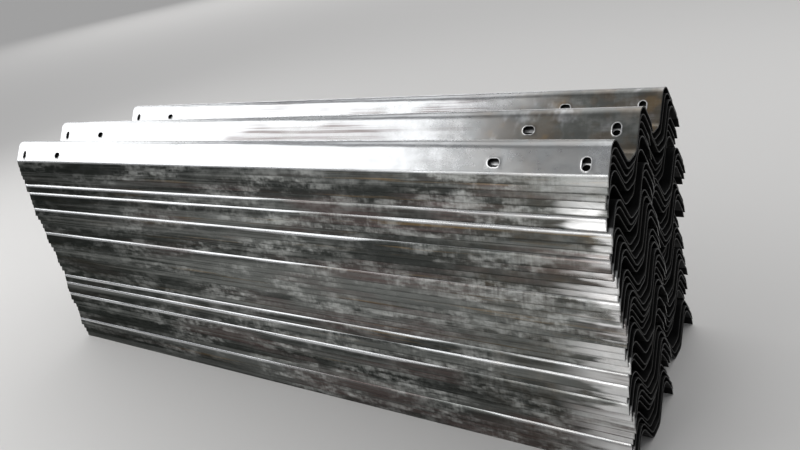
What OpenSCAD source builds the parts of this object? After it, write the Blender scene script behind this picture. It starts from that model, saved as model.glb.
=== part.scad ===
// Stack of two-wave highway guardrail rails, nested one over the next in two columns.
// Lengths are in millimetres. X runs along the rails, Y across them and Z up.
// The origin is on the ground, under the middle of the front column's lowest rail.

/* [Rail section] */
// Length of one rail from end to end
rail_length = 2320; // [1600:20:4320]
// Width across both waves, edge to edge
rail_width = 310; // [306:1:318]
// Depth from the crests to the edges
rail_depth = 83; // [80:1:88]
// Thickness of the sheet
sheet = 3; // [2.5:0.1:4]
// Distance between the two crests
crest_pitch = 194; // [190:1:196]
// Inside radius of the crests and of the valley
wave_radius = 24; // [20:1:26]
// Inside radius of the bend between the outer flank and the lip
lip_radius = 10; // [6:1:14]
// Length of the straight part of a lip
lip_length = 24; // [20:1:28]
// Slope of the inner flanks, measured from the width of the rail
flank_angle = 55; // [53:1:57]
// Lean of the lips, measured from the depth of the rail
lip_angle = 10; // [9:0.5:12]

/* [Slots] */
// Width of every slot
slot_width = 20; // [16:1:22]
// Length of a splice slot from end to end
splice_slot_length = 30; // [24:1:34]
// Length of a post slot from end to end
post_slot_length = 60; // [40:2:70]
// Distance from the rail's end to the first column of splice slots
end_distance = 50; // [40:2:70]
// Distance from the first column of splice slots to the second
column_gap = 220; // [200:2:240]
// Sideways distance from a crest to the slot rows on its flanks
row_offset = 39; // [36:1:42]

/* [Front column] */
// Number of rails in the front column
front_count = 37; // [20:1:42]
// Rails that sit off centre and ride up on one lip, counted from the ground
front_riders = [5, 11, 13, 14, 24, 29, 32, 33];
// Places of the groups along the rails in slip steps, from the ground up
front_slips = [10, 13, 9, 7, 14, 5, 2, -6, 5];

/* [Rear column] */
// Number of rails in the rear column
rear_count = 34; // [20:1:42]
// Rails that sit off centre and ride up on one lip, counted from the ground
rear_riders = [4, 9, 12, 18, 23, 27, 31];
// Places of the groups along the rails in slip steps, from the ground up
rear_slips = [6, -4, 5, -8, 1, 8, -5, -2];
// Gap between the two columns at their lowest rails, at the middle of the length
column_clearance = 45; // [30:5:120]
// Turn of the rear column seen from above
rear_turn = -1; // [-2:0.25:0]
// Place of the rear column along the rails
rear_offset = -30; // [-80:5:40]

/* [Nesting] */
// Clearance between the lips of two nested rails, square to the sheet
nest_clearance = 0.1; // [0.05:0.01:0.3]
// How far a rider sits behind the rail under it
rider_shift = 5; // [4.5:0.1:7]
// One slip step, by which the groups lie unevenly along the rails
slip_step = 1; // [0:0.1:2]
// Unevenness of the rail ends within a group
end_scatter = 6; // [0:0.5:10]

/* [Hidden] */
// Number of nodes that the covered rails of the rear column are gathered in
LIFTS = 5;
// Number of rails on top of the rear column that are nodes of their own
TOP_RAILS = 2;
// Segments along a quarter turn of a bend
QUARTER_STEPS = 9;
// Turn in degrees from one rail's scatter to the next one's
SCATTER_TURN = 61;
// How far a cutting tool reaches past the sheet on each side
REACH = 3;
$fn = 48;

// Radii at the middle of the sheet
mid_wave = wave_radius + sheet / 2;
mid_lip = lip_radius + sheet / 2;
// Direction of the lip, measured from the width of the rail
lip_slope = 90 - lip_angle;
// Depth between the sheet's middle at a crest and at the valley
wave_depth = rail_depth - sheet;
// Length of the straight inner flank, and half the flat floor of the valley
inner_flank = (wave_depth - 2 * mid_wave * (1 - cos(flank_angle))) / sin(flank_angle);
valley_half = crest_pitch / 2 - 2 * mid_wave * sin(flank_angle) - inner_flank * cos(flank_angle);
// Centres of the crest, of the bend at the top of the lip and of the valley's bend, seen from the end
crest_centre = [crest_pitch / 2, rail_depth - sheet / 2 - mid_wave];
bend_centre = [rail_width / 2, 0] + sheet / 2 * [-sin(lip_slope), cos(lip_slope)]
    + lip_length * [-cos(lip_slope), sin(lip_slope)] - mid_lip * [sin(lip_slope), cos(lip_slope)];
valley_centre = [valley_half, sheet / 2 + mid_wave];
// The outer flank is the straight that touches the crest's arc and the bend's arc from above
bend_span = bend_centre - crest_centre;
outer_angle = atan2(-bend_span[1], bend_span[0]) + asin((mid_wave - mid_lip) / norm(bend_span));

// Step of the stack from a rail to one that is centred on it: the lips wedge against each other
nest_pitch = (sheet + nest_clearance) / sin(lip_angle);
// Step to a rider, whose front edge comes to rest on the outer flank under it
edge_y = rail_width / 2 - sheet * sin(lip_slope);
flank_end = bend_centre + (mid_lip + sheet / 2) * [sin(outer_angle), cos(outer_angle)];
rider_pitch = flank_end[1] + (flank_end[0] - edge_y + rider_shift) * tan(outer_angle)
    + nest_clearance / cos(outer_angle);
// Middle of the rear column across the rails
rear_y = rail_width + column_clearance;
lifted_count = rear_count - TOP_RAILS;

function two_digits(n) = str(n < 10 ? "0" : "", n);
function front_name(n) = str("front_rail_", two_digits(n));
function lift_name(n) = str("rear_lift_", n);
function rear_name(n) = str("rear_rail_", two_digits(n));
function lift_first(n) = 1 + ceil((n - 1) * lifted_count / LIFTS);
function lift_last(n) = ceil(n * lifted_count / LIFTS);

// Points of an arc about a centre, with the angle measured from +Y towards +Z, after those to skip
function arc(centre, radius, from, to, skip = 0) =
    let (steps = max(2, ceil(abs(to - from) * QUARTER_STEPS / 90)))
    [for (i = [skip:steps]) let (a = from + (to - from) * i / steps)
        centre + radius * [cos(a), sin(a)]];

// One face of the sheet from the middle of the valley to the edge, side = 1 above and -1 below
function half_face(side) =
    let (
        h = side * sheet / 2,
        edge = bend_centre + (mid_lip + h) * [sin(lip_slope), cos(lip_slope)]
            + lip_length * [cos(lip_slope), -sin(lip_slope)]
    )
    concat(
        arc(valley_centre, mid_wave - h, -90, flank_angle - 90),
        arc(crest_centre, mid_wave + h, 90 + flank_angle, 90),
        arc(crest_centre, mid_wave + h, 90, 90 - outer_angle, skip = 1),
        arc(bend_centre, mid_lip + h, 90 - outer_angle, lip_angle),
        [edge]
    );

function mirrored(points) = [for (i = [len(points) - 1:-1:0]) [-points[i][0], points[i][1]]];
function backwards(points) = [for (i = [len(points) - 1:-1:0]) points[i]];

// Number of riders up to a rail, its height, its place across and its place along
function riders(list, n) = len([for (r = list) if (r <= n) r]);
function rail_z(list, n) = (n - 1) * nest_pitch + riders(list, n) * (rider_pitch - nest_pitch);
function rail_y(list, n) = riders(list, n) * rider_shift;
function rail_x(list, slips, n) =
    slips[riders(list, n) % len(slips)] * slip_step + end_scatter * sin(SCATTER_TURN * n);

// A slot cutter along X or across, standing on the origin's plane, through twice its reach
module slot(length, across = false) {
    rotate([0, 0, across ? 90 : 0]) {
        for (end = [-1, 1])
            translate([end * (length - slot_width) / 2, 0, 0])
                cylinder(d = slot_width, h = 2 * (sheet + REACH), center = true);
        cube([length - slot_width, slot_width, 2 * (sheet + REACH)], center = true);
    }
}

// Four slots on the flanks of one rail end, at a distance from the middle of the rail
module splice_row(x, across) {
    for (crest = [-1, 1], flank = [-1, 1]) {
        slope = flank == crest ? outer_angle : flank_angle;
        drop = mid_wave * (1 - cos(slope)) + (row_offset - mid_wave * sin(slope)) * tan(slope);
        translate([x, crest * crest_pitch / 2 + flank * row_offset, rail_depth - sheet / 2 - drop])
            rotate([-flank * slope, 0, 0])
                slot(splice_slot_length, across);
    }
}

// One rail, crests up, with its lowest points at Z = 0
module rail() {
    difference() {
        rotate([90, 0, 90])
            translate([0, 0, -rail_length / 2])
                linear_extrude(rail_length)
                    polygon(concat(
                        mirrored(half_face(1)), half_face(1),
                        backwards(half_face(-1)), backwards(mirrored(half_face(-1)))
                    ));
        for (end = [-1, 1]) {
            splice_row(end * (rail_length / 2 - end_distance), true);
            splice_row(end * (rail_length / 2 - end_distance - column_gap), false);
            translate([end * (rail_length / 2 - end_distance - column_gap / 2), 0, sheet / 2])
                slot(post_slot_length);
        }
    }
}

module front_rail(n) {
    color("silver")
        translate([rail_x(front_riders, front_slips, n), rail_y(front_riders, n), rail_z(front_riders, n)])
            rail();
}

module rear_rail(n) {
    color("darkgray")
        translate([rear_offset, rear_y, 0])
            rotate([0, 0, rear_turn])
                translate([rail_x(rear_riders, rear_slips, n), rail_y(rear_riders, n), rail_z(rear_riders, n)])
                    rail();
}

module rear_lift(lift) {
    for (n = [lift_first(lift):lift_last(lift)])
        rear_rail(n);
}

for (n = [1:front_count])
    front_rail(n);
for (n = [1:LIFTS])
    rear_lift(n);
for (n = [lifted_count + 1:rear_count])
    rear_rail(n);
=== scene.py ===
# %% [markdown]
# # A stack of guardrail rails
#
# The object is a store of steel guardrail rails: two columns of nested rails, crests up, dipped
# in zinc. Every rail is one rolled sheet, 3 mm thick, bent to two waves, with slots punched near
# both ends. The packed model says how large the stack is and where its rails lie. This lesson
# dresses it: smooth bends, rounded sheet edges, zinc beads round the slots, sprung ends, and a
# zinc finish.
#
# The first cell loads the packed model. Its parts are fixed, and everything else is placed by them.

import bpy
import numpy as np
from mathutils import Matrix, Vector


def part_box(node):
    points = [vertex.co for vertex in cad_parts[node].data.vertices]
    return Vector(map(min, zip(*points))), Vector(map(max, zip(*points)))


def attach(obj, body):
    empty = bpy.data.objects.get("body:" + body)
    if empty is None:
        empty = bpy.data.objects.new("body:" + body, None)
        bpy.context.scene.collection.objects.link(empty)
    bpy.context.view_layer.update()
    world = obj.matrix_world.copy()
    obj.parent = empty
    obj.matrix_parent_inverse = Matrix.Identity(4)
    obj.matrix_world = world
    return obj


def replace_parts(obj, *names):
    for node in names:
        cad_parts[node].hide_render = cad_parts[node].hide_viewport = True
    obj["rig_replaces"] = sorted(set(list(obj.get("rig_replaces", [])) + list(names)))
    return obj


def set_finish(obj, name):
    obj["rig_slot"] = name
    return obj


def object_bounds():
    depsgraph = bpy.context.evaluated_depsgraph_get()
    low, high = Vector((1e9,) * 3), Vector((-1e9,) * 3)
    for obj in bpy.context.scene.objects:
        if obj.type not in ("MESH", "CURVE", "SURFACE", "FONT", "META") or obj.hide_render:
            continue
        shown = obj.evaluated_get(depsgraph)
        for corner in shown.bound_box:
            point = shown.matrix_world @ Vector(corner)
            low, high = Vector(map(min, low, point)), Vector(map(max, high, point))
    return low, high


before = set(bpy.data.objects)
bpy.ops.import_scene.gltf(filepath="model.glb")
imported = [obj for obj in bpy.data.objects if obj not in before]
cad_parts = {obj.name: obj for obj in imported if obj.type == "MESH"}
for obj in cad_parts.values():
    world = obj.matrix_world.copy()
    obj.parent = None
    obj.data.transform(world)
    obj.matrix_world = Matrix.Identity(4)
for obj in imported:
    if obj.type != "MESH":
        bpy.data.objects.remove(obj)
CAD_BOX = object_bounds()
print("nodes:", len(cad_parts), "box:", [round(value, 4) for corner in CAD_BOX for value in corner])

# %% [markdown]
# ## Camera
#
# The photo looks down on the stack from its right front corner, with the camera tilted to the
# side. A camera is a place, three angles and a focal length. The angles are turned into three
# axes at right angles: right, up and back, which are the columns of the camera's matrix.

# %% Camera
# The photo's width and the focal length are in pixels, and the sensor's width is in millimetres
PHOTO_WIDTH = 800
FOCAL_PIXELS = 752.1
SENSOR = 36.0
CAMERA_PLACE = Vector((1.7136, -1.4818, 1.4310))
YAW, PITCH, ROLL = np.radians((39.02, 24.52, -14.23))


def camera_matrix(place, yaw, pitch, roll):
    """Forward is turned by yaw from +Y towards -X and dips by pitch. Roll turns right and up about it."""
    forward = Vector((-np.sin(yaw) * np.cos(pitch), np.cos(yaw) * np.cos(pitch), -np.sin(pitch)))
    level = Vector((np.cos(yaw), np.sin(yaw), 0.0))
    upright = level.cross(forward)
    right = np.cos(roll) * level + np.sin(roll) * upright
    up = np.cos(roll) * upright - np.sin(roll) * level
    turned = Matrix((right, up, -forward)).transposed().to_4x4()
    return Matrix.Translation(place) @ turned


camera_data = bpy.data.cameras.new("photo_camera")
camera_data.sensor_width = SENSOR
camera_data.lens = FOCAL_PIXELS * SENSOR / PHOTO_WIDTH
camera = bpy.data.objects.new("photo_camera", camera_data)
camera.matrix_world = camera_matrix(CAMERA_PLACE, YAW, PITCH, ROLL)
bpy.context.scene.collection.objects.link(camera)
bpy.context.scene.camera = camera
print("lens:", round(camera_data.lens, 2), "mm")

# %% [markdown]
# ## The section of a rail
#
# Seen from its end, a rail is a line of straights and arcs, three millimetres thick. It could be
# drawn as points, but a walk is shorter to write: go straight, turn left, go straight, turn
# right. Each stretch has a length and a turn, and a straight is an arc that turns by nothing.
# Half of the section is walked, from the middle of the valley to the edge, and the other half is
# its mirror image. All lengths are in metres, as in the packed model.

# %% Sizes of the section
SHEET = 0.003
RAIL_WIDTH = 0.310
RAIL_DEPTH = 0.083
CREST_PITCH = 0.194
WAVE_RADIUS = 0.024 + SHEET / 2
BEND_RADIUS = 0.010 + SHEET / 2
LIP_LENGTH = 0.024
FLANK = np.radians(55.0)
LIP = np.radians(80.0)
# Numbers of the stretches that are asked for later: floor, bend, flank, crest, flank, bend, lip
INNER_FLANK, CREST, OUTER_FLANK, EDGE_LIP = 2, 3, 4, 6


def walk_of_half_section():
    """Lengths and turns from the middle of the valley to the edge of the sheet.

    The inner flank is what is left of the depth between two arcs of the same turn. The outer
    flank is the straight that touches the crest's arc and the small arc over the lip, so its
    slope and length come from the distance of their centres and the difference of their radii.
    """
    inner = (RAIL_DEPTH - SHEET - 2 * WAVE_RADIUS * (1 - np.cos(FLANK))) / np.sin(FLANK)
    floor = CREST_PITCH / 2 - 2 * WAVE_RADIUS * np.sin(FLANK) - inner * np.cos(FLANK)
    lip_way = np.array((np.cos(LIP), -np.sin(LIP)))
    outward = np.array((np.sin(LIP), np.cos(LIP)))
    edge = np.array((RAIL_WIDTH / 2, 0.0)) + SHEET / 2 * np.array((-np.sin(LIP), np.cos(LIP)))
    bend_centre = edge - LIP_LENGTH * lip_way - BEND_RADIUS * outward
    crest_centre = np.array((CREST_PITCH / 2, RAIL_DEPTH - SHEET / 2 - WAVE_RADIUS))
    span = bend_centre - crest_centre
    distance = np.hypot(*span)
    outer = np.arctan2(-span[1], span[0]) + np.arcsin((WAVE_RADIUS - BEND_RADIUS) / distance)
    outer_flank = np.sqrt(distance**2 - (WAVE_RADIUS - BEND_RADIUS) ** 2)
    lengths = (floor, WAVE_RADIUS * FLANK, inner, WAVE_RADIUS * (FLANK + outer), outer_flank,
               BEND_RADIUS * (LIP - outer), LIP_LENGTH)
    turns = (0.0, FLANK, 0.0, -FLANK - outer, 0.0, outer - LIP, 0.0)
    return np.array(lengths), np.array(turns)


LENGTHS, TURNS = walk_of_half_section()
STARTS = np.concatenate(([0.0], np.cumsum(LENGTHS)))
HALF_SHEET = STARTS[-1]
print("developed width of the sheet:", round(2 * HALF_SHEET * 1000, 1), "mm")

# %% [markdown]
# ## From the flat sheet to the rolled one
#
# Everything on a rail is easiest to place on the flat sheet, before it is rolled: x runs along
# the rail, s across the sheet from the middle of the valley, and h is the height over the middle
# of its thickness. One function then rolls any such point. Within an arc of curvature k, a walk
# of length a ends at the chord a * sinc(k * a / 2), which points along the mean of the first and
# the last heading. A straight has k = 0 and needs no case of its own.

# %% Roll a point of the flat sheet
HEADINGS = np.concatenate(([0.0], np.cumsum(TURNS)))
CURVATURES = TURNS / LENGTHS


def chord(stretch, along):
    """The step from a stretch's start to a point along it, across and up."""
    half_turn = CURVATURES[stretch] * along / 2
    reach = along * np.sinc(half_turn / np.pi)
    heading = HEADINGS[stretch] + half_turn
    return reach * np.cos(heading), reach * np.sin(heading)


STEPS_ACROSS, STEPS_UP = chord(np.arange(len(LENGTHS)), LENGTHS)
CORNERS_ACROSS = np.concatenate(([0.0], np.cumsum(STEPS_ACROSS)))
CORNERS_UP = SHEET / 2 + np.concatenate(([0.0], np.cumsum(STEPS_UP)))


def roll(s, h):
    """Place across and up of the point h over the middle of the sheet, at the distance s."""
    side = np.where(s < 0, -1.0, 1.0)
    distance = np.abs(s)
    stretch = np.clip(np.searchsorted(STARTS, distance, side="right") - 1, 0, len(LENGTHS) - 1)
    along = distance - STARTS[stretch]
    across, up = chord(stretch, along)
    heading = HEADINGS[stretch] + CURVATURES[stretch] * along
    across = CORNERS_ACROSS[stretch] + across - h * np.sin(heading)
    up = CORNERS_UP[stretch] + up + h * np.cos(heading)
    return side * across, up


edge_across, edge_up = roll(np.array([HALF_SHEET, HALF_SHEET]), np.array([-SHEET / 2, SHEET / 2]))
print("edge of the sheet at", np.round(1000 * edge_across, 2), "mm across,",
      np.round(1000 * edge_up, 2), "mm up")

# %% [markdown]
# ## Slots
#
# Sixteen splice slots lie on the four flanks and two post slots in the valley. On the flat sheet
# they are plain stadiums: two half circles and two straights. A stadium is a circle whose two
# halves are moved apart. Sampled at the middles of equal angles, no point falls on the cut.

# %% Slots on the flat sheet
SLOT_RADIUS = 0.010
END_DISTANCE = 0.050
COLUMN_GAP = 0.220
ROW_OFFSET = 0.039
# How far each half of a slot's circle is moved, along x and along s
STRETCHES = {"across": (0.0, 0.005), "post": (0.020, 0.0), "along": (0.005, 0.0)}


def stadium(count, along_x, along_s, offset=0.0):
    """Points of a stadium, turning from -x over -s: a circle of the slot's radius, its halves moved apart."""
    angle = -np.pi + (np.arange(count) + 0.5) * 2 * np.pi / count
    radius = SLOT_RADIUS + offset
    x = radius * np.cos(angle) + along_x * np.sign(np.cos(angle))
    s = radius * np.sin(angle) + along_s * np.sign(np.sin(angle))
    return x, s


def slot_rows():
    """Distances s of the splice rows: each lies ROW_OFFSET beside a crest, measured level."""
    inner_slope = HEADINGS[INNER_FLANK]
    outer_slope = -HEADINGS[OUTER_FLANK]
    run_in = (ROW_OFFSET - WAVE_RADIUS * np.sin(inner_slope)) / np.cos(inner_slope)
    run_out = (ROW_OFFSET - WAVE_RADIUS * np.sin(outer_slope)) / np.cos(outer_slope)
    return STARTS[CREST] - run_in, STARTS[OUTER_FLANK] + run_out


INNER_ROW, OUTER_ROW = slot_rows()
SPLICE_ROWS = np.array((-OUTER_ROW, -INNER_ROW, INNER_ROW, OUTER_ROW))
print("slot rows at", np.round(1000 * SPLICE_ROWS, 1), "mm from the middle of the sheet")

# %% [markdown]
# ## Lines of the grid
#
# The two faces of the sheet are grids. Lines run along the rail where its section bends, a few
# degrees apart, and just beside each bend, so that the flat flanks shade flat. Lines run across
# only near the ends, where the slots are. Each slot sits in one cell of that grid, which is
# left out and filled with rings round the slot. A hole could be cut out with a Boolean modifier
# instead, but that leaves long thin triangles, which shade badly on bright metal. Covered rails
# get fewer lines than the two on top.

# %% Lines along and across the sheet
RAIL_LENGTH = 2.320
# Radius of a cut edge, distance of the line beside a bend, and distance on a lip from its bend to
# where the next rail leaves it free
ROUND = 0.0008
BESIDE = 0.0025
NEXT_EDGE = 0.0075
# Half the width of a splice slot's cell, and each column's distance from the rail's end with half
# the length of its cells
CELL_ACROSS = 0.0194
CELLS_ALONG = {
    "across": (END_DISTANCE, 0.0200),
    "post": (END_DISTANCE + COLUMN_GAP / 2, 0.0450),
    "along": (END_DISTANCE + COLUMN_GAP, 0.0250),
}
# How finely a covered rail and a top rail are laid out
COVERED = dict(bend_step=np.radians(11), middle_step=0.6, edge_steps=1, ring_points=16, bead_rings=0)
TOP = dict(bend_step=np.radians(6), middle_step=0.025, edge_steps=3, ring_points=48, bead_rings=5)


def lines_at_s(bend_step):
    """Distances s of the lines along the rail, mirrored about its middle.

    There are steps on each arc, the ends of each straight with a line just beside them, and the
    borders of the slots' cells.
    """
    found = [STARTS[1] - BESIDE]
    for stretch in range(1, len(LENGTHS)):
        start, end = STARTS[stretch], STARTS[stretch + 1]
        if TURNS[stretch]:
            steps = int(np.ceil(abs(TURNS[stretch]) / bend_step))
            found.extend(np.linspace(start, end, steps + 1)[:-1])
        elif stretch == INNER_FLANK:
            cell = (INNER_ROW - CELL_ACROSS, INNER_ROW + CELL_ACROSS)
            found.extend((start, start + BESIDE, *cell, end - BESIDE))
        elif stretch == OUTER_FLANK:
            found.extend((start, start + BESIDE, OUTER_ROW - CELL_ACROSS, OUTER_ROW + CELL_ACROSS))
        else:
            found.extend((start, start + BESIDE, start + NEXT_EDGE, end - 2 * ROUND - BESIDE, end - ROUND))
    half = np.array(found)
    return np.concatenate((-half[::-1], half))


def lines_at_x(middle_step):
    """Places x of the lines across the rail: the border, a line beside it, the cells, and even steps."""
    near_end = [ROUND, 2 * ROUND + BESIDE]
    for centre, reach in CELLS_ALONG.values():
        near_end.extend((centre - reach, centre + reach))
    near_end = RAIL_LENGTH / 2 - np.array(near_end)
    steps = int(np.ceil(2 * near_end[-1] / middle_step))
    middle = np.linspace(-near_end[-1], near_end[-1], steps + 1)[1:-1]
    return np.concatenate((-near_end, middle, near_end[::-1]))


print("lines across a covered rail:", len(lines_at_x(COVERED["middle_step"])),
      "along it:", len(lines_at_s(COVERED["bend_step"])))

# %% [markdown]
# ## A pattern of points and faces
#
# The flat sheet with its slots is laid out once, as a pattern, and rolled for every rail. The
# pattern gathers points with what the finish needs to know of them, their marks: how near they
# are to a slot's rim and to a cut edge, and how hidden they are, which is 0 in the open, a half
# on the upper face of a covered rail and 1 below. Where that last mark says a place is hidden,
# the finish paints shade on it, near black. Each call gives back the numbers of its points, in
# the shape of the grid or rings that they form, so that faces are made by slicing those numbers.

# %% Gather points and faces
class Pattern:
    """Points (x, s, h) of a flat sheet, their marks (rim, edge, hidden), and faces. Hidden places get painted
    shade.
    """

    def __init__(self):
        self.count = 0
        self.points, self.marks, self.quads, self.triangles = [], [], [], []

    def place(self, x, s, h, rim=0.0, edge=0.0, hidden=0.0):
        """Add points with their marks, and give back their numbers."""
        x, s, h, rim, edge, hidden = np.broadcast_arrays(x, s, h, rim, edge, hidden)
        numbers = self.count + np.arange(x.size).reshape(x.shape)
        self.count += x.size
        self.points.append(np.stack((x, s, h), axis=-1).reshape(-1, 3))
        self.marks.append(np.stack((rim, edge, hidden), axis=-1).reshape(-1, 3))
        return numbers

    def join(self):
        """The gathered arrays, each in one piece."""
        self.points = np.concatenate(self.points)
        self.marks = np.concatenate(self.marks)
        self.quads = np.concatenate(self.quads)
        self.triangles = np.concatenate(self.triangles)
        return self


def band(numbers, outwards):
    """Quads between closed rings, one ring a row. The rings go outwards and down, or inwards and down."""
    here, there = numbers[:-1], numbers[1:]
    here_next, there_next = np.roll(here, -1, axis=1), np.roll(there, -1, axis=1)
    corners = (here, there, there_next, here_next) if outwards else (here, here_next, there_next, there)
    return np.stack(corners, axis=-1).reshape(-1, 4)


def fan(ring, corners):
    """Triangles between a ring and the four corners of its cell, a quarter of the ring to each corner."""
    quarter = len(ring) // 4
    to_ring = np.stack((ring, np.repeat(corners, quarter), np.roll(ring, -1)), axis=-1)
    to_cell = np.stack((np.roll(ring[::quarter], -1), corners, np.roll(corners, -1)), axis=-1)
    return np.concatenate((to_ring, to_cell))


print("quads between two rings of 16 points:", len(band(np.arange(32).reshape(2, 16), outwards=True)),
      "triangles from one to its cell:", len(fan(np.arange(16), np.arange(4))))

# %% [markdown]
# ## Edges and beads
#
# Sheet steel is sheared and punched, then dipped in zinc at 450 degrees. The zinc rounds every
# cut edge and drains to a smooth bead round each hole. A sharp edge would never catch the light,
# so each edge is a small quarter round. On the two rails that show from above, a raised bead is
# added, fullest at the side of the slot where the zinc ran off.

# %% Profiles of an edge and of a bead
BEAD_WIDTH = 0.0042
BEAD_HEIGHT = 0.0009
# How much fuller a bead is on the downhill side of its slot, and on the side towards +x
BEAD_DOWNHILL = 0.45
BEAD_ASIDE = 0.25


def rounded_edge(steps):
    """Offset outwards and height, from the upper face over two quarter rounds to the lower face."""
    angle = np.linspace(np.pi / 2, 0.0, steps + 1)
    offset = ROUND * np.cos(angle)
    height = SHEET / 2 - ROUND * (1 - np.sin(angle))
    return np.concatenate((offset, offset[::-1])), np.concatenate((height, -height[::-1]))


def slot_profile(steps, bead_rings):
    """Offset away from the slot's wall, height and share of the bead, from the upper face to the lower.

    From its own width inwards the bead rises as a squared sine, and it falls off over the rounding.
    """
    offset, height = rounded_edge(steps)
    share = np.linspace(0.0, 1.0, bead_rings + 2)[:-1] if bead_rings else np.empty(0)
    rounding = np.cos(np.linspace(0.0, np.pi / 2, steps + 1)) ** 0.5
    offsets = np.concatenate((BEAD_WIDTH + (ROUND - BEAD_WIDTH) * share, ROUND - offset))
    heights = np.concatenate((np.full(len(share), SHEET / 2), height))
    beads = np.concatenate((np.sin(np.pi / 2 * share) ** 2, rounding, np.zeros(steps + 1)))
    return offsets, heights, beads


print("rings round a plain slot:", len(slot_profile(COVERED["edge_steps"], COVERED["bead_rings"])[0]),
      "round a beaded one:", len(slot_profile(TOP["edge_steps"], TOP["bead_rings"])[0]))

# %% [markdown]
# ## The border and the slots
#
# Two things are stitched to the grids: the border all round, which becomes the cut edge, and the
# slots, each a sleeve of rings from the upper face through the sheet to the lower one. Both need
# only the numbers of the grid's points beside them.

# %% The border and the slots of a sheet
def border_of(numbers):
    """Rows and columns of the points round the outside of a grid, and which way is out in x and in s."""
    last_row, last_column = numbers.shape[0] - 1, numbers.shape[1] - 1
    first, last = np.zeros(last_row, int), np.full(last_row, last_column)
    top, bottom = np.zeros(last_column, int), np.full(last_column, last_row)
    down, over = np.arange(last_row), np.arange(last_column)
    rows = np.concatenate((down, bottom, last_row - down, top))
    columns = np.concatenate((first, over, last, last_column - over))
    out_x = 1 * (rows == last_row) - 1 * (rows == 0)
    out_s = 1 * (columns == last_column) - 1 * (columns == 0)
    return rows, columns, out_x, out_s


def slots_of_rail():
    """Kind and centre of the eighteen slots."""
    found = []
    for end in (-1, 1):
        for kind, (distance, _) in CELLS_ALONG.items():
            rows = (0.0,) if kind == "post" else SPLICE_ROWS
            found.extend((kind, end * (RAIL_LENGTH / 2 - distance), s) for s in rows)
    return found


def slot_rings(pattern, kind, x_slot, s_slot, edge_steps, ring_points, bead_rings):
    """Place the rings of one slot. Only the upper rings of a top rail's slots lie in the open; all other
    rings get painted shade.
    """
    beaded = 0 if kind == "post" else bead_rings
    offsets, heights, bead = (values[:, None] for values in slot_profile(edge_steps, beaded))
    ring_x, ring_s = stadium(ring_points, *STRETCHES[kind], offset=offsets)
    angle = np.arctan2(ring_s, ring_x)
    downhill = np.sign(s_slot) * np.sign(abs(s_slot) - STARTS[CREST])
    fullness = 1.0 + BEAD_DOWNHILL * np.sin(angle) * downhill + BEAD_ASIDE * np.cos(angle)
    rise = BEAD_HEIGHT * bead * fullness if beaded else 0.0
    # Rings below the middle of the sheet, and all rings of a covered rail, get painted shade
    wall = np.where((heights > 0) & (bead_rings > 0), 0.0, 1.0)
    return pattern.place(x_slot + ring_x, s_slot + ring_s, heights + rise, rim=bead, hidden=wall)


print("slots of a rail:", len(slots_of_rail()))

# %% [markdown]
# ## The flat sheet
#
# The pattern is the upper and the lower grid, the rounded border between them, and a sleeve of
# rings through each slot. The lower grid has its faces turned round, so that all faces point out
# of the sheet and the rail is one closed body.

# %% Lay out the flat sheet
def flat_sheet(bend_step, middle_step, edge_steps, ring_points, bead_rings):
    """The pattern of one rail, laid flat. A rail without beads is a covered one."""
    pattern = Pattern()
    x_lines, s_lines = lines_at_x(middle_step), lines_at_s(bend_step)
    x, s = np.meshgrid(x_lines, s_lines, indexing="ij")
    # The outermost lines lie ROUND inside the edges
    at_edge = (np.abs(x) > RAIL_LENGTH / 2 - 1.5 * ROUND) | (np.abs(s) > HALF_SHEET - 1.5 * ROUND)
    # A covered rail's upper face gets painted shade where the next rail lies over it, and every lower face
    # gets it all over
    upper_hidden = 0.0 if bead_rings else 0.5
    upper = pattern.place(x, s, SHEET / 2, edge=np.where(at_edge, 0.5, 0.0), hidden=upper_hidden)
    lower = pattern.place(x, s, -SHEET / 2, hidden=1.0)
    whole = np.ones((len(x_lines) - 1, len(s_lines) - 1), bool)
    for kind, x_slot, s_slot in slots_of_rail():
        reach_s = STARTS[1] - BESIDE if kind == "post" else CELL_ACROSS
        i = np.argmin(np.abs(x_lines - (x_slot - CELLS_ALONG[kind][1])))
        j = np.argmin(np.abs(s_lines - (s_slot - reach_s)))
        whole[i, j] = False
        rings = slot_rings(pattern, kind, x_slot, s_slot, edge_steps, ring_points, bead_rings)
        pattern.quads.append(band(rings, outwards=False))
        cell = ((i, i + 1, i + 1, i), (j, j, j + 1, j + 1))
        pattern.triangles.append(fan(rings[0], upper[cell]))
        pattern.triangles.append(fan(rings[-1], lower[cell])[:, ::-1])
    quads = np.stack((upper[:-1, :-1], upper[1:, :-1], upper[1:, 1:], upper[:-1, 1:]), axis=-1)[whole]
    pattern.quads.append(quads)
    pattern.quads.append((quads + lower[0, 0] - upper[0, 0])[:, ::-1])
    rows, columns, out_x, out_s = border_of(upper)
    offset, height = (values[1:-1, None] for values in rounded_edge(edge_steps))
    edge_x, edge_s = x[rows, columns] + offset * out_x, s[rows, columns] + offset * out_s
    edge = pattern.place(edge_x, edge_s, height, edge=1.0)
    sleeve = np.concatenate((upper[rows, columns][None], edge, lower[rows, columns][None]))
    pattern.quads.append(band(sleeve, outwards=True))
    return pattern.join()


covered_sheet = flat_sheet(**COVERED)
top_sheet = flat_sheet(**TOP)
for title, sheet in (("covered", covered_sheet), ("top", top_sheet)):
    print(title, "rail:", len(sheet.points), "points,",
          2 * len(sheet.quads) + len(sheet.triangles), "triangles")

# %% [markdown]
# ## Places of the rails
#
# The front rails are nodes of their own, so the packed model gives their places. The rear rails
# are gathered in lifts and lie turned by one degree, so their places are worked out by the same
# rule as in the part's source, and then held against the lifts' boxes. Rails wedge on each
# other's lips every 17.85 mm. A rider sits a little to the rear and stands higher.

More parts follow.
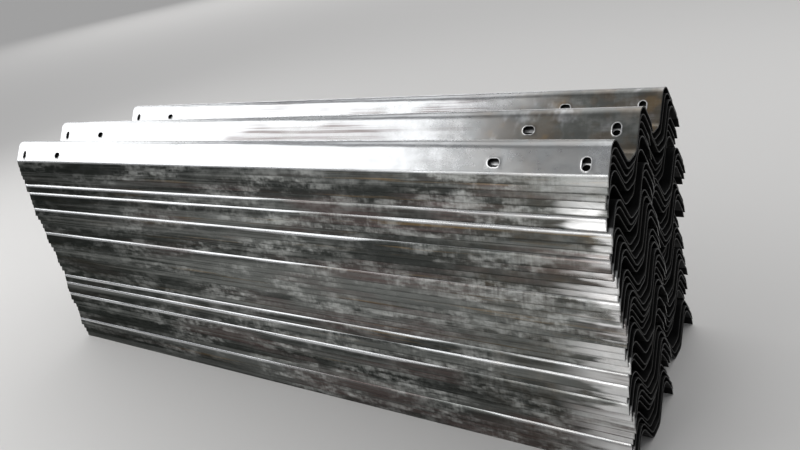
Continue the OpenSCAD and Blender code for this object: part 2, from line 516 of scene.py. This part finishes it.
# %% Places of the rails
FRONT_COUNT = 37
REAR_COUNT = 34
LIFTS = 5
LIFTED = REAR_COUNT - sum(name.startswith("rear_rail_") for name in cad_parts)
REAR_RIDERS = np.array((4, 9, 12, 18, 23, 27, 31))
REAR_SLIPS = np.array((0.006, -0.004, 0.005, -0.008, 0.001, 0.008, -0.005, -0.002))
END_SCATTER = 0.006
SCATTER_TURN = np.radians(61.0)
NEST_CLEARANCE = 0.0001
NEST_PITCH = (SHEET + NEST_CLEARANCE) / np.cos(LIP)
RIDER_PITCH = 0.0318573
RIDER_SHIFT = 0.005
REAR_TURN = np.radians(-1.0)
REAR_PLACE = np.array((-0.030, 0.355, 0.0))

front_places = []
for number in range(1, FRONT_COUNT + 1):
    low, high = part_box(f"front_rail_{number:02d}")
    front_places.append(((low.x + high.x) / 2, (low.y + high.y) / 2, low.z))

numbers = np.arange(1, REAR_COUNT + 1)
ridden = np.sum(REAR_RIDERS[None, :] <= numbers[:, None], axis=1)
rear_places = np.stack((
    REAR_SLIPS[ridden % len(REAR_SLIPS)] + END_SCATTER * np.sin(SCATTER_TURN * numbers),
    RIDER_SHIFT * ridden,
    (numbers - 1) * NEST_PITCH + ridden * (RIDER_PITCH - NEST_PITCH),
), axis=1)

# %% [markdown]
# ## A rolled rail
#
# A rail is the pattern, rolled and put in its place. A roller never trims the sheet quite
# straight, so each rail's edges are drawn back by up to a millimetre in long waves of its own.
# Where a rolled rail is cut, the sheet springs open: over the last 13 cm the free part of its
# lips leans out, by up to 2.6 mm at the very end and on each rail by its own amount. That is why
# the ends catch the light. Both are a term added to s or h before the sheet is rolled, which is
# simpler than bending the finished mesh.

# %% Roll a rail
EDGE_WAVE = 0.0005
END_FLARE = 0.0013
FLARE_REACH = 0.130


def rolled_rail(sheet, place, number, turn=0.0, origin=(0.0, 0.0, 0.0)):
    """The pattern's points, rolled, moved to their place in the column, and turned with the column.

    The waves of the edges are sines of the place along the rail, and how far a lip springs is a
    sine of the rail's number. Their factors only keep the rails from looking alike. Points that
    would pass the packed model's sides are held at them, so that a few sprung lips are thinner.
    """
    x, s, h = sheet.points.T
    end, side = np.sign(x), np.sign(s)
    down_lip = np.abs(s) - STARTS[EDGE_LIP]
    near_edge = np.clip(down_lip / LIP_LENGTH, 0.0, 1.0)
    wave = 1.0 + 0.6 * np.sin(4.1 * x + 2.3 * number + side) + 0.4 * np.sin(11.3 * x + 5.1 * number * side)
    near_end = np.clip(1.0 - (RAIL_LENGTH / 2 - np.abs(x)) / FLARE_REACH, 0.0, 1.0)
    free = np.clip((down_lip - NEXT_EDGE) / (LIP_LENGTH - NEXT_EDGE), 0.0, 1.0)
    flare = 1.0 + np.sin(2.4 * number + 1.3 * end + 0.9 * side)
    s = s - side * EDGE_WAVE * near_edge * wave
    h = h + END_FLARE * near_end**1.5 * free * flare
    across, up = roll(s, h)
    x, across = x + place[0], across + place[1]
    turned_x = np.cos(turn) * x - np.sin(turn) * across
    turned_y = np.sin(turn) * x + np.cos(turn) * across
    points = np.stack((turned_x, turned_y, up + place[2]), axis=1) + np.array(origin)
    points[:, 1] = np.clip(points[:, 1], CAD_BOX[0][1], CAD_BOX[1][1])
    return points


lowest = rolled_rail(covered_sheet, front_places[0], 1)
print("lowest front rail from", np.round(lowest.min(0), 3), "to", np.round(lowest.max(0), 3))

# %% [markdown]
# ## From points to a piece
#
# A mesh can be made from lists of points and faces. Filling its arrays directly does the same and
# is many times faster. The places on the flat sheet are kept on each rail as an attribute, with
# the rail's number as the third coordinate. The finish reads it, so that no two rails have the
# same stains.

# %% Make the front pieces
def rails_piece(name, rails, slot_name, nodes):
    """One mesh object of one or more rails: (pattern, points, number) each."""
    points, quads, triangles, flats, marks = [], [], [], [], []
    count = 0
    for sheet, rail_points, number in rails:
        points.append(rail_points)
        quads.append(sheet.quads + count)
        triangles.append(sheet.triangles + count)
        flat = sheet.points.copy()
        flat[:, 2] = number
        flats.append(flat)
        marks.append(sheet.marks)
        count += len(rail_points)
    quads, triangles = np.concatenate(quads), np.concatenate(triangles)
    starts = np.concatenate((4 * np.arange(len(quads)), 4 * len(quads) + 3 * np.arange(len(triangles))))
    mesh = bpy.data.meshes.new(name)
    mesh.vertices.add(count)
    mesh.vertices.foreach_set("co", np.concatenate(points).ravel())
    mesh.loops.add(4 * len(quads) + 3 * len(triangles))
    mesh.loops.foreach_set("vertex_index", np.concatenate((quads.ravel(), triangles.ravel())))
    mesh.polygons.add(len(starts))
    mesh.polygons.foreach_set("loop_start", starts)
    mesh.update(calc_edges=True)
    mesh.shade_smooth()
    for title, values in (("sheet", flats), ("marks", marks)):
        attribute = mesh.attributes.new(title, "FLOAT_VECTOR", "POINT")
        attribute.data.foreach_set("vector", np.concatenate(values).ravel())
    if mesh.validate():
        raise ValueError(name + " has faulty faces")
    piece = bpy.data.objects.new(name, mesh)
    bpy.context.scene.collection.objects.link(piece)
    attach(piece, "root")
    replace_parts(piece, *nodes)
    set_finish(piece, slot_name)
    return piece


front_pieces = []
for number, place in enumerate(front_places, start=1):
    sheet = top_sheet if number == FRONT_COUNT else covered_sheet
    rail = (sheet, rolled_rail(sheet, place, number), number)
    node = f"front_rail_{number:02d}"
    front_pieces.append(rails_piece(f"rail_front_{number:02d}", [rail], "zinc_front", [node]))
print("front pieces:", len(front_pieces))

# %% [markdown]
# ## The rear column
#
# Most of the rear rails hide behind the front column, so the packed model gathers them in lifts,
# and each lift is one piece here too. Their numbers start at 101, so that no rear rail wears the
# stains of a front one. Every piece of both columns is then held against the box of its node. A
# piece may differ from it by the waves of its edges and by its sprung ends, but no more.

# %% The rear rails, and a check of all pieces
REAR_NUMBERS = 100
BOX_TOLERANCE = 0.0035

rear_rails, rear_pieces = [], []
for number, place in enumerate(rear_places, start=1):
    sheet = top_sheet if number == REAR_COUNT else covered_sheet
    points = rolled_rail(sheet, place, number + REAR_NUMBERS, REAR_TURN, REAR_PLACE)
    rear_rails.append((sheet, points, number + REAR_NUMBERS))
for lift in range(1, LIFTS + 1):
    first, last = (int(np.ceil(count * LIFTED / LIFTS)) for count in (lift - 1, lift))
    node = f"rear_lift_{lift}"
    rear_pieces.append(rails_piece(f"rails_rear_lift_{lift}", rear_rails[first:last], "zinc_rear", [node]))
for number in range(LIFTED + 1, REAR_COUNT + 1):
    node = f"rear_rail_{number}"
    rear_pieces.append(rails_piece(f"rail_rear_{number}", rear_rails[number - 1:number], "zinc_rear", [node]))

for piece in front_pieces + rear_pieces:
    points = np.empty(3 * len(piece.data.vertices), np.float32)
    piece.data.vertices.foreach_get("co", points)
    points = points.reshape(-1, 3)
    low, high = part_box(piece["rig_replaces"][0])
    off = max(np.abs(points.min(0) - np.array(low)).max(), np.abs(points.max(0) - np.array(high)).max())
    if off > BOX_TOLERANCE:
        raise ValueError(f"{piece.name} is {off * 1000:.2f} mm off its node's box")
print("pieces:", len(front_pieces) + len(rear_pieces),
      "each within", BOX_TOLERANCE * 1000, "mm of its node's box")

# %% [markdown]
# ## Zinc
#
# Fresh zinc is a bright, slightly bluish metal. In a damp store it dulls, and a whitish bloom
# grows on it in clouds. Dirt runs along the rails in streaks, and some bands of the stack are
# dirtier than others. The lips stand outside and weather first, and a painted shade makes them
# darker still, as if they mirrored dark surroundings. The front side of the rails is painted
# darker towards the left end as well. The lips' ends have been rubbed back to bare zinc by hands
# and slings, and the flanks of the top rails are still bright, with brown stains where water
# stood. Where a rail lies under the next one, on the undersides and in the slots, shade is
# painted near black, and the cut ends are dull zinc darkened by painted shade.
#
# Pictures of real zinc could be wrapped round the rails, but they would blur and repeat on 71
# sheets. Noise never repeats. One finish does all of it: a metal whose colour, roughness and
# share of metal are mixed from noise. Streaks and stains are laid out on the flat sheet, so that
# they follow each rail. Clouds and bands are laid out on Object coordinates, so that they cross
# from one rail to the next. A few small helpers keep the node tree short.

# %% Helpers for a node tree
class Finish:
    """A material whose nodes are written as calls. Inputs are plain values or other nodes' outputs."""

    def __init__(self, name):
        self.material = bpy.data.materials.new(name)
        self.material.use_nodes = True
        self.tree = self.material.node_tree
        self.shader = self.tree.nodes["Principled BSDF"]

    def feed(self, socket, value):
        """Link an output to an input, or set the input to a plain value."""
        if isinstance(value, bpy.types.NodeSocket):
            self.tree.links.new(value, socket)
        else:
            socket.default_value = value

    def node(self, kind, *values, output=0, **settings):
        """Add a node, feed its inputs in their order, and give back one output."""
        made = self.tree.nodes.new(kind)
        for key, value in settings.items():
            setattr(made, key, value)
        for socket, value in zip((s for s in made.inputs if s.enabled), values):
            if value is not None:
                self.feed(socket, value)
        return made.outputs[output]

    def calc(self, operation, *values):
        """One piece of arithmetic, by the Math node's own name for it."""
        return self.node("ShaderNodeMath", *values, operation=operation)

    def times(self, value, *others):
        """The product of all values."""
        for other in others:
            value = self.calc("MULTIPLY", value, other)
        return value

    def weighted(self, *terms):
        """The sum of values, each times its weight."""
        total = 0.0
        for value, weight in terms:
            total = self.calc("MULTIPLY_ADD", value, weight, total)
        return total

    def parts(self, vector):
        """The three numbers of a vector."""
        made = self.tree.nodes.new("ShaderNodeSeparateXYZ")
        self.feed(made.inputs[0], vector)
        return tuple(made.outputs)

    def stretched(self, vector, factors):
        """The vector with each of its numbers times its own factor."""
        return self.node("ShaderNodeVectorMath", vector, factors, operation="MULTIPLY")

    def noise(self, vector, factors, detail=2.0, roughness=0.5):
        """Noise on a vector that is stretched first: the larger a factor, the finer the noise that way."""
        vector = self.stretched(vector, factors)
        return self.node("ShaderNodeTexNoise", vector, 1.0, detail, roughness, noise_dimensions="3D")

    def step(self, value, low, high, smallest=0.0, largest=1.0):
        """A smooth step from the smallest to the largest as the value goes from low to high."""
        return self.node("ShaderNodeMapRange", value, low, high, smallest, largest,
                         interpolation_type="SMOOTHSTEP")

    def blend(self, share, colour, other):
        """The colour where the share is 0, and the other one where it is 1."""
        mixed = self.tree.nodes.new("ShaderNodeMix")
        mixed.data_type = "RGBA"
        for key, value in (("Factor_Float", share), ("A_Color", colour), ("B_Color", other)):
            self.feed(next(s for s in mixed.inputs if s.identifier == key), value)
        return next(s for s in mixed.outputs if s.identifier == "Result_Color")


print("calls of a finish:", ", ".join(name for name in vars(Finish) if not name.startswith("_")))

# %% [markdown]
# ## What a point of a rail knows
#
# Everything in the finish depends on where a point lies: how far along and across its sheet, on
# which rail, near which edge, and in the open or not. Those values could be worked out anew for
# every layer. Here they are read once and kept as values of the finish. The lip, darker as
# weathered zinc and as painted shade, is one of them. On covered rails it reaches up to a
# centimetre further up in some stretches.

# %% Read a point
# Step from the noise of one rail to the noise of the next, and the distances s between which the
# shade under the next rail ends
OWN_NOISE = 7.31
SHADE_FROM, SHADE_TO = 0.196, 0.202


def read_point(finish):
    """Keep what the attributes say, and the layers that several others need."""
    sheet = finish.node("ShaderNodeAttribute", output="Vector", attribute_name="sheet")
    marks = finish.node("ShaderNodeAttribute", output="Vector", attribute_name="marks")
    finish.sheet = sheet
    finish.own = finish.stretched(sheet, (1.0, 1.0, OWN_NOISE))
    finish.place = finish.node("ShaderNodeTexCoord", output="Object")
    finish.along, side, finish.number = finish.parts(sheet)
    finish.across = finish.calc("ABSOLUTE", side)
    finish.tone = finish.node("ShaderNodeTexWhiteNoise", finish.number, noise_dimensions="1D")
    finish.rim, finish.cut, hidden = finish.parts(marks)

    # Painted shade: this share is 1 on the lower faces and slot walls, and on a covered rail's upper face
    # where the next rail lies over it
    covered = finish.step(hidden, 0.0, 0.5)
    under_next = finish.times(covered, finish.step(finish.across, SHADE_FROM, SHADE_TO, 1.0, 0.0))
    finish.hidden = finish.calc("MAXIMUM", finish.step(hidden, 0.5, 1.0), under_next)

    lip_reach = finish.noise(finish.own, (1.5, 0.0, 1.0))
    lip_reach = finish.weighted((lip_reach, 1.0), (finish.step(finish.along, -0.40, 0.60), 0.06))
    lip_reach = finish.times(finish.step(lip_reach, 0.42, 0.62), finish.step(finish.along, -0.40, 0.50, 0.15, 1.0))
    lip_line = finish.weighted((finish.across, 1.0), (finish.times(lip_reach, covered), 0.010))
    finish.lip = finish.step(lip_line, STARTS[EDGE_LIP] - 0.001, STARTS[EDGE_LIP] + 0.005)

    finish.patches = finish.noise(finish.own, (55.0, 85.0, 1.0))
    finish.streaks = finish.noise(finish.own, (1.3, 140.0, 1.0), 4.0, 0.65)
    # Painted shade at the left end: this share runs from 0 at the left end to 1 from the middle on and
    # darkens the lips there, on the front half of each sheet only; the rear half keeps at least 0.8
    rear_side = finish.step(side, 0.05, 0.15, 0.0, 0.8)
    finish.clean = finish.calc("MAXIMUM", finish.step(finish.along, -1.20, 0.30), rear_side)


tried = Finish("tried")
read_point(tried)
print("nodes that read a point:", len(tried.tree.nodes))
bpy.data.materials.remove(tried.material)

# %% [markdown]
# ## Layers on the zinc
#
# Each layer is a share between 0 and 1 that says how strongly it covers the metal. It is noise,
# cut to patches by a smooth step, times where on the rail the layer is found at all. The layers
# could be painted by hand, but on 71 rails that would take days.

# %% Layers
def bloom_layer(finish):
    """Whitish clouds, strongest on the lips, and fainter where the left end is painted dark."""
    clouds = finish.noise(finish.place, (14.0, 14.0, 40.0), 4.0, 0.55)
    runs = finish.noise(finish.place, (150.0, 9.0, 16.0), 3.0, 0.6)
    clusters = finish.noise(finish.sheet, (2.8, 9.0, 0.37))
    field = finish.weighted((finish.patches, 0.26), (clouds, 0.60), (runs, 0.14), (finish.tone, 0.05))
    return finish.times(finish.step(field, 0.44, 0.68), finish.step(clusters, 0.40, 0.62, 0.12, 1.0),
                        finish.step(finish.lip, 0.0, 1.0, 0.22, 0.75),
                        finish.step(finish.clean, 0.0, 1.0, 0.35, 1.0))


def umber_layer(finish):
    """Brown dirt in streaks along the rails."""
    weather = finish.noise(finish.sheet, (1.6, 5.0, 0.23), 3.0, 0.5)
    return finish.times(finish.step(weather, 0.50, 0.64), finish.step(finish.streaks, 0.42, 0.58, 0.35, 0.9),
                        finish.step(finish.along, -0.90, 0.10, 0.15, 1.0))


def ochre_layer(finish):
    """Thin lines of rust on the lips."""
    seam = finish.noise(finish.own, (1.4, 60.0, 1.0), 4.0, 0.6)
    return finish.times(finish.step(seam, 0.59, 0.72), finish.step(finish.along, -0.90, 0.10, 0.05, 0.7),
                        finish.lip)


def stain_layer(finish):
    """Stains near the right ends of the rails, where water stood."""
    stains = finish.noise(finish.own, (9.0, 7.0, 1.0), 4.0, 0.65)
    stains = finish.weighted((stains, 1.0), (finish.step(finish.along, 0.30, 1.10), 0.30), (-0.10, 1.0))
    return finish.times(finish.step(stains, 0.40, 0.62), finish.step(finish.along, 0.55, 0.95),
                        finish.step(finish.across, STARTS[CREST], STARTS[OUTER_FLANK], 0.95, 0.40),
                        finish.step(finish.lip, 0.0, 1.0, 1.0, 0.5))


def smear_layer(finish, fresh_ends):
    """Places at the right ends that were rubbed back to bare zinc, as strongly as fresh_ends says."""
    smears = finish.noise(finish.own, (5.0, 20.0, 1.0), 3.0, 0.5)
    smears = finish.weighted((smears, 1.0), (finish.streaks, 0.30), (finish.tone, 0.12),
                             (finish.step(finish.along, 1.00, 1.17), 0.16),
                             (finish.step(finish.number, 6.0, 26.0, 0.14, -0.02), 1.0))
    return finish.times(finish.step(smears, 0.74, 0.86, 0.0, fresh_ends),
                        finish.step(finish.along, 0.96, 1.12),
                        finish.step(finish.number, 32.0, 35.0, 1.0, 0.2))


def dirt_and_shade_layer(finish):
    """How dark the lips' zinc is: dirt in streaks, by rail and in bands over several rails, darker towards
    the right and high in the front column, and painted shade at the left end.
    """
    bands = finish.noise(finish.place, (0.5, 1.0, 17.0))
    upper = finish.times(finish.step(finish.number, 28.0, 33.0),
                         finish.step(finish.number, 50.0, 60.0, 1.0, 0.0))
    # The left end's term is painted shade
    dirt_and_shade = finish.weighted((finish.step(finish.streaks, 0.36, 0.62), 0.55), (finish.clean, -0.55),
                            (finish.tone, 0.35), (finish.step(bands, 0.40, 0.60), 0.75),
                            (finish.step(finish.along, 0.10, 0.70), 0.32), (upper, 0.22), (0.08, 1.0))
    return finish.step(dirt_and_shade, 0.0, 1.0)


tried = Finish("tried")
read_point(tried)
layers = [layer(tried) for layer in (bloom_layer, umber_layer, ochre_layer, stain_layer, dirt_and_shade_layer)]
layers.append(smear_layer(tried, 1.0))
print("layers:", len(layers), "nodes so far:", len(tried.tree.nodes))
bpy.data.materials.remove(tried.material)

# %% [markdown]
# ## The finish
#
# The layers go over each other as on the real rail: metal, dirt, stains, rust, bloom, and last
# what is dark or bright for its place. Stains and bloom also make the surface rougher, and bloom
# is less of a metal. Three bumps of different size stand for the slow swell of a rolled sheet,
# its dents and the skin of the zinc. They turn the reflections and leave the mesh as it is,
# because rails that nest 0.1 mm apart have no room for real swells.

# %% Zinc finish
FRESH = (0.57, 0.58, 0.59, 1.0)
CLEAN = (0.92, 0.92, 0.92, 1.0)
# The next two colour the lips, from the plainer to the dirtiest: weathered zinc, darkened further as painted
# shade. The dirtiest is also the painted shade of the left end. The specular tint further down dims the lips'
# low reflections for the same shade
DULL_AND_SHADED = (0.148, 0.155, 0.147, 1.0)
DARK = (0.026, 0.029, 0.026, 1.0)
BLOOM = (0.50, 0.51, 0.49, 1.0)
UMBER = (0.12, 0.092, 0.088, 1.0)
OCHRE = (0.22, 0.15, 0.075, 1.0)
STAIN = (0.125, 0.108, 0.085, 1.0)
STAIN_GREY = (0.110, 0.114, 0.105, 1.0)
# Near-black painted shade for the undersides, the slot walls and what lies under the next rail
PAINTED_SHADE = (0.025, 0.025, 0.025, 1.0)
# Cut edges all round the sheet: dull zinc, made darker by painted shade
CUT_SHADE = (0.07, 0.07, 0.07, 1.0)
RIM = (0.90, 0.90, 0.90, 1.0)
WHITE = (1.0, 1.0, 1.0, 1.0)
EDGE_TINT = (0.30, 0.30, 0.30, 1.0)
PLAIN_ROUGHNESS = 0.18
# Factors of the noise, its detail, and the height of the bump in metres
BUMPS = (
    ((3.4, 7.0, 1.0), 1.0, 0.0090),
    ((13.0, 20.0, 1.0), 1.0, 0.0012),
    ((260.0, 260.0, 1.0), 2.0, 0.00010),
)


def zinc_finish(name, fresh_ends):
    """Zinc that is bright on the flanks and darker on the lips, as weathered zinc and as painted shade, under
    its layers.
    """
    finish = Finish(name)
    read_point(finish)
    bloom, stains = bloom_layer(finish), stain_layer(finish)
    spots = finish.noise(finish.own, (16.0, 18.0, 1.0))
    stain = finish.blend(finish.step(spots, 0.38, 0.54), STAIN_GREY, STAIN)
    stain = finish.blend(finish.step(spots, 0.58, 0.74, 0.0, 0.7), stain, OCHRE)
    bead = finish.times(finish.rim, finish.step(finish.patches, 0.36, 0.56, 0.45, 1.0))

    # The lips' colour: dirt and weathered zinc, darkened further as painted shade
    lip_colour = finish.blend(dirt_and_shade_layer(finish), DULL_AND_SHADED, DARK)
    lip_colour = finish.blend(smear_layer(finish, fresh_ends), lip_colour, CLEAN)
    metal = finish.blend(finish.times(finish.lip, 0.97), FRESH, lip_colour)
    for share, colour in ((umber_layer(finish), UMBER), (stains, stain), (ochre_layer(finish), OCHRE),
                          (bloom, BLOOM), (finish.hidden, PAINTED_SHADE), (finish.step(finish.cut, 0.5, 1.0), CUT_SHADE),
                          (bead, RIM)):
        metal = finish.blend(share, metal, colour)

    rough = finish.weighted((finish.patches, 0.12), (finish.lip, 0.06), (bloom, 0.2), (finish.cut, 0.2),
                            (finish.hidden, 0.2), (stains, 0.12))
    relief = None
    for factors, detail, height in BUMPS:
        bumps = finish.noise(finish.own, factors, detail)
        relief = finish.node("ShaderNodeBump", 1.0, height, None, bumps, relief)
    for title, value in (
        ("Base Color", metal),
        ("Specular Tint", finish.blend(finish.lip, WHITE, EDGE_TINT)),
        ("Metallic", finish.step(bloom, 0.0, 1.0, 1.0, 0.35)),
        ("Roughness", finish.calc("ADD", PLAIN_ROUGHNESS, rough)),
        ("Normal", relief),
    ):
        finish.feed(finish.shader.inputs[title], value)
    return finish.material


zinc = {name: zinc_finish(name, fresh_ends) for name, fresh_ends in (("zinc_front", 1.0), ("zinc_rear", 0.2))}
for piece in front_pieces + rear_pieces:
    piece.data.materials.append(zinc[piece["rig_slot"]])
print("nodes in a zinc finish:", len(zinc["zinc_front"].node_tree.nodes))

# %% [markdown]
# ## Floor
#
# The stack stands on the ground of its store. Here that is a plain pale floor, so wide that its
# border is never seen, which keeps the eye on the rails and takes their shadow. A curved
# backdrop would do as well, but a flat floor has no bend that could show in the metal.

# %% Floor
FLOOR_SIZE = 200.0
FLOOR_COLOUR = (0.70, 0.69, 0.675, 1.0)
FLOOR_ROUGHNESS = 0.95

half = FLOOR_SIZE / 2
corners = [(-half, -half, 0), (half, -half, 0), (half, half, 0), (-half, half, 0)]
floor_mesh = bpy.data.meshes.new("floor")
floor_mesh.from_pydata(corners, [], [(0, 1, 2, 3)])
floor = bpy.data.objects.new("floor", floor_mesh)
bpy.context.scene.collection.objects.link(floor)
paint = bpy.data.materials.new("floor_paint")
paint.use_nodes = True
paint_shader = paint.node_tree.nodes["Principled BSDF"]
paint_shader.inputs["Base Color"].default_value = FLOOR_COLOUR
paint_shader.inputs["Roughness"].default_value = FLOOR_ROUGHNESS
floor_mesh.materials.append(paint)
print("floor:", FLOOR_SIZE, "m wide")

# %% [markdown]
# ## Light
#
# The rails were seen under daylight that falls in from the left, in front and behind. In the
# studio, wide soft lamps stand where that light came from. Metal shows what it mirrors, so the
# lamps' places matter more than their strength. "left" stands where the flanks of the top rails
# mirror it over most of their length. Past its border, and where the stains begin, they turn
# dark. "left_end" takes it on to the far end. The bends over the lips and the sprung ends mirror
# "front" and "low_front", and only the rounded crests mirror "behind". "high_back" and
# "right_back" do for the rear side what the others do for the front.
#
# The lamps are weak enough that the floor comes out about as its colour is written. The world is
# an even grey. From the camera only floor is seen behind the stack, and the lamps' light on it
# ends softly towards the upper left corner. Low views from the side show that soft edge too, and
# the world behind it, which is a little darker.

# %% Light
WORLD_COLOUR = (0.35, 0.355, 0.365, 1.0)
SUN_ENERGY = 0.5
SUN_ANGLE = np.radians(50.0)
SUN_WAY = Vector((0.25, -0.35, -0.9))

world = bpy.data.worlds.new("studio")
bpy.context.scene.world = world
world.use_nodes = True
world.node_tree.nodes["Background"].inputs["Color"].default_value = WORLD_COLOUR


def stand(lamp, place, way):
    """Put a lamp in the scene so that it shines that way."""
    holder = bpy.data.objects.new(lamp.name, lamp)
    bpy.context.scene.collection.objects.link(holder)
    holder.matrix_world = Matrix.Translation(place) @ way.to_track_quat("-Z", "Y").to_matrix().to_4x4()
    return holder


def softbox(name, place, target, size, radiance):
    """A rectangular lamp turned to its target: power is radiance times pi times area."""
    lamp = bpy.data.lights.new(name, "AREA")
    lamp.shape = "RECTANGLE"
    lamp.size, lamp.size_y = size
    lamp.energy = radiance * np.pi * size[0] * size[1]
    stand(lamp, place, Vector(target) - Vector(place)).visible_camera = False


softbox("left", (-3.19, -1.77, 2.74), (-0.14, 0.08, 0.99), (3.93, 3.23), 1.85)
softbox("left_end", (-4.4, 0.9, 2.7), (-0.5, 0.0, 0.8), (2.6, 2.0), 1.5)
softbox("front", (-0.7, -3.5, 1.45), (0.7, 0.0, 0.5), (2.0, 1.3), 2.0)
softbox("low_front", (0.30, -2.9, 0.85), (1.0, 0.0, 0.35), (0.9, 0.9), 2.9)
softbox("behind", (-5.85, 12.1, 3.22), (0.1, 0.2, 0.6), (18.2, 2.1), 2.4)
softbox("high_back", (0.8, 3.2, 4.2), (0.0, 0.2, 0.5), (4.0, 2.4), 0.9)
softbox("right_back", (3.3, 2.8, 3.1), (0.2, 0.4, 0.5), (3.0, 2.2), 1.3)

daylight = bpy.data.lights.new("daylight", "SUN")
daylight.energy = SUN_ENERGY
daylight.angle = SUN_ANGLE
stand(daylight, (0.0, 0.0, 0.0), SUN_WAY)
bpy.context.scene.view_settings.view_transform = "Standard"
print("lamps:", ", ".join(lamp.name for lamp in bpy.data.lights))

# %% [markdown]
# ## Sizes kept
#
# The dressed part may not grow beyond the packed model.
